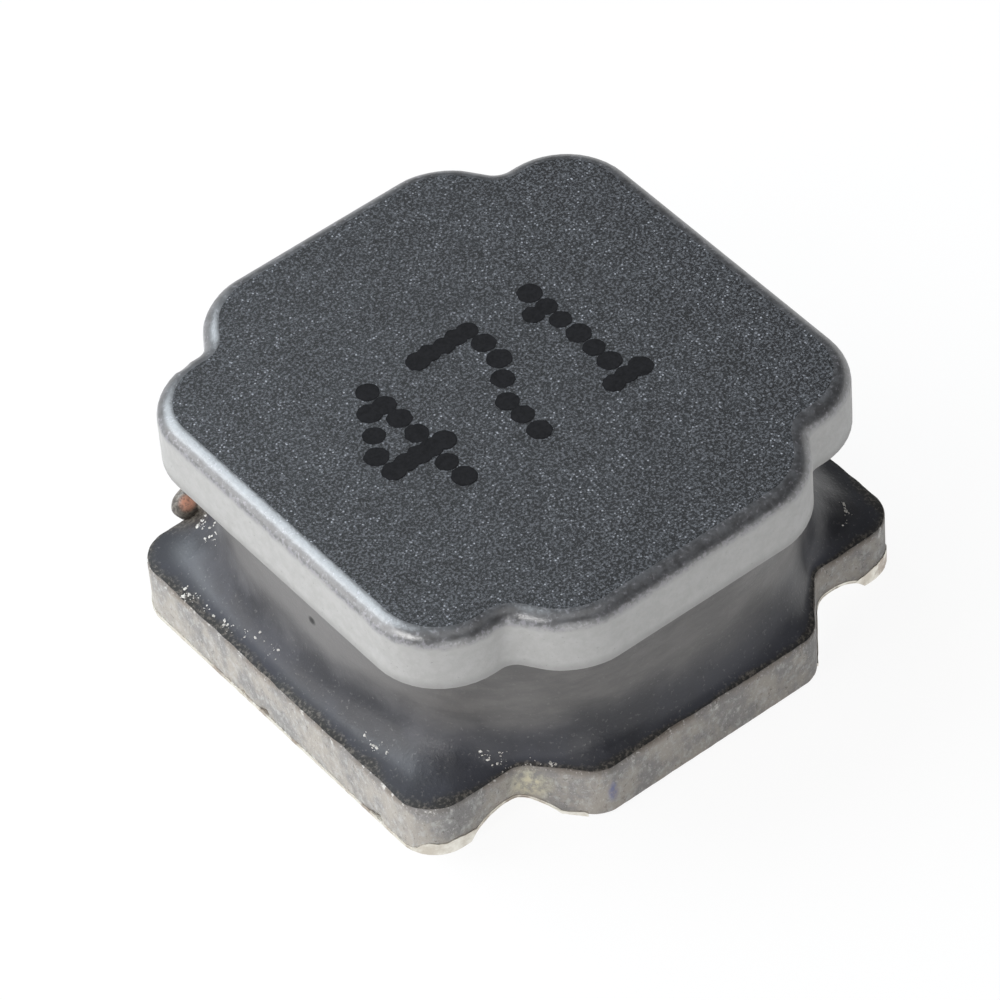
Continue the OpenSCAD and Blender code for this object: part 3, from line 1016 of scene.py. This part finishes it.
def skirt_mesh(side):
    skirt = end_outline(side, 0.0, 0.02)
    rim = [e for e in skirt.edges
           if e.is_boundary and max(abs(v.co.x) for v in e.verts) > plate_x + 1e-4]
    raised = only(bmesh.types.BMVert, bmesh.ops.extrude_edge_only(skirt, edges=rim)["geom"])
    walls = {f for v in raised for f in v.link_faces}
    bmesh.ops.delete(skirt, geom=[f for f in skirt.faces if f not in walls], context="FACES")
    under_pads(skirt)
    for vert in raised:
        vert.co.z += creep(vert.co)
    bmesh.ops.recalc_face_normals(skirt, faces=skirt.faces)
    skirt.normal_update()
    for vert in skirt.verts:
        sink(vert, 0.006 * abs(noise.noise(vert.co * 12)))
    two_skins(skirt, lambda vert: sink(vert, tin_t))
    mesh = bpy.data.meshes.new("skirt")
    skirt.to_mesh(mesh)
    skirt.free()
    return mesh


def plating(side, end):
    bm = end_outline(side, plate_gap, 0.03)
    under_pads(bm)
    two_skins(bm, to_ferrite)
    skirt = skirt_mesh(side)
    bm.from_mesh(skirt)
    bpy.data.meshes.remove(skirt)
    to_piece(bm, "plating_" + end, tin, ["electrode_" + end])


ends = {"left": -1, "right": 1}
for end, side in ends.items():
    plating(side, end)


# %% [markdown]
# ## Solder
# Solder fills the two grooves round the wire. Its section is a round face with the
# part below the pads sliced off, since that is the room in the groove. The section
# is pulled along the groove, and the edges of both ends are rounded. Points that lie
# too close together are merged before that, because a bevel wider than an edge is
# long folds over it. The underside is then sliced, so that it can wave a little.

# %% Solder fills
solder_z = 0.01
solder_front_y, solder_back_y = -1.97, 2.12
solder_slices = 40


def solder_fill(side, end):
    length = solder_back_y - solder_front_y
    bm = bmesh.new()
    bmesh.ops.create_circle(bm, cap_ends=True, segments=64, radius=lining_r,
                            matrix=along_y(side * groove_x, solder_front_y, groove_axis_z))
    bmesh.ops.bisect_plane(bm, geom=every_part(bm), plane_co=(0, 0, solder_z),
                           plane_no=(0, 0, 1), clear_inner=True)
    bmesh.ops.remove_doubles(bm, verts=bm.verts, dist=0.02)
    divide(bm, [e for e in bm.edges if e.calc_length() > 0.1], 0.05)
    near_end = bm.edges[:]
    made = bmesh.ops.extrude_face_region(bm, geom=bm.faces[:])["geom"]
    bmesh.ops.translate(bm, vec=(0, length, 0), verts=only(bmesh.types.BMVert, made))
    bmesh.ops.recalc_face_normals(bm, faces=bm.faces)
    bmesh.ops.bevel(bm, geom=near_end + only(bmesh.types.BMEdge, made), offset=0.01, segments=2,
                    affect="EDGES", profile=0.5, material=-1)
    for k in range(1, solder_slices):
        y = solder_front_y + length * k / solder_slices
        bmesh.ops.bisect_plane(bm, geom=every_part(bm), plane_co=(0, y, 0), plane_no=(0, 1, 0))
    for vert in bm.verts:
        if vert.co.z < solder_z + 0.0001:
            vert.co.z += 0.010 * abs(noise.noise(vert.co * 1.5))
    to_piece(bm, "solder_fill_" + end, solder_metal, ["solder_" + end])


for end, side in ends.items():
    solder_fill(side, end)

# %% [markdown]
# ## The printed number
# A plain three-digit number is jetted on the top as dots of black ink, five columns
# by seven rows. Dots of a row run together. Each is a thin drop whose edge is a
# little uneven, because ink spreads between the crystals.

# %% Printed dots
digits = {"4": ["...#.", "..##.", ".#.#.", "#..#.", "#####", "...#.", "...#."],
          "7": ["#####", "....#", "....#", "...#.", "..#..", "..#..", "..#.."],
          "1": ["..#..", ".##..", "..#..", "..#..", "..#..", "..#..", ".###."]}
first_x, middle_y = -1.18, 0.05
digit_pitch, column_pitch, row_pitch = 1.08, 0.155, 0.25
jitter = 0.012
ink_sink = 0.001  # how far a dot reaches into the ferrite
random.seed(4)
bm = bmesh.new()


def ink_dot(bm, x, y):
    radius = random.uniform(0.112, 0.130)
    low = Matrix.Translation((x, y, total_h - ink_t - ink_sink))
    drop = bmesh.ops.create_circle(bm, cap_ends=True, segments=32, radius=radius, matrix=low)["verts"]
    for vert in drop:
        out = Vector((vert.co.x - x, vert.co.y - y, 0))
        vert.co += out * 0.10 * noise.noise(Vector((vert.co.x, vert.co.y, 3)) * 22)
    face = drop[0].link_faces[0]
    made = bmesh.ops.extrude_face_region(bm, geom=[face])["geom"]
    thick = ink_t + ink_sink - random.uniform(0, 0.0015)
    bmesh.ops.translate(bm, vec=(0, 0, thick), verts=only(bmesh.types.BMVert, made))


for place, digit in enumerate("471"):
    for row, line in enumerate(digits[digit]):
        for column, mark in enumerate(line):
            if mark == "#":
                x = first_x + digit_pitch * place + column_pitch * (column - 2)
                y = middle_y + row_pitch * (3 - row)
                x += random.uniform(-jitter, jitter)
                y += random.uniform(-jitter, jitter)
                ink_dot(bm, x, y)
bmesh.ops.recalc_face_normals(bm, faces=bm.faces)
to_piece(bm, "printed_dots", ink)

# %% [markdown]
# ## Residue
# Crumbs of dried flux lie in drifts: along the left edge, in the front notch, behind
# on the left and on the right lobe. A drift is a line with clusters strewn along it.
# Each crumb is a small ball, squashed and turned, and dropped straight down on the
# resin by casting a ray at the skin that was just made.

# %% Crumbs
crumb_sizes = (0.004, 0.005, 0.006, 0.008, 0.011, 0.016)
above_cove = 1.9
drifts = [((-2.90, 1.75), (-2.80, 0.20), 16, 0.04),
          ((-2.84, -0.95), (-2.74, -1.35), 6, 0.04),
          ((-2.20, -2.10), (-1.60, -2.62), 16, 0.03),
          ((-2.28, 2.08), (-2.55, 1.55), 8, 0.04),
          ((2.72, -1.60), (2.35, -2.25), 3, 0.05)]
random.seed(21)
skin_below = BVHTree.FromObject(shield, bpy.context.evaluated_depsgraph_get())
bm = bmesh.new()


def scatter(heart, spread):
    return heart + Vector((random.gauss(0, spread), random.gauss(0, spread)))


def crumb(bm, spot, size):
    hit = skin_below.ray_cast(Vector((spot.x, spot.y, above_cove)) * MM, Vector((0, 0, -1)))[0]
    if hit is not None:
        turn = Matrix.Rotation(random.uniform(0, 6), 4, "Z") @ Matrix.Diagonal((1.5, 0.9, 0.6, 1))
        bmesh.ops.create_icosphere(bm, subdivisions=1, radius=size,
                                   matrix=Matrix.Translation(hit / MM) @ turn)


for start, end, clusters, spread in drifts:
    for _ in range(clusters):
        heart = scatter(Vector(start).lerp(Vector(end), random.random()), spread)
        for _ in range(random.randint(1, 9)):
            crumb(bm, scatter(heart, 0.022), random.choice(crumb_sizes))
for vert in bm.verts:
    push_x = noise.noise(vert.co * 60)
    push_y = noise.noise(vert.co * 60 + Vector((5, 0, 0)))
    vert.co += 0.003 * Vector((push_x, push_y, 0))
bmesh.ops.recalc_face_normals(bm, faces=bm.faces)
to_piece(bm, "flux_crumbs", residue)

# %% [markdown]
# ## The sizes, before and after
# The box of the CAD model and the box of everything made here are written side by
# side, to show that the looks haven't changed the size of the part.

# %% Write the sizes
visual_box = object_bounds()
for name, box in (("cad", cad_box), ("visual", visual_box)):
    print(name, "box in mm:", [[round(v / MM, 3) for v in corner] for corner in box])
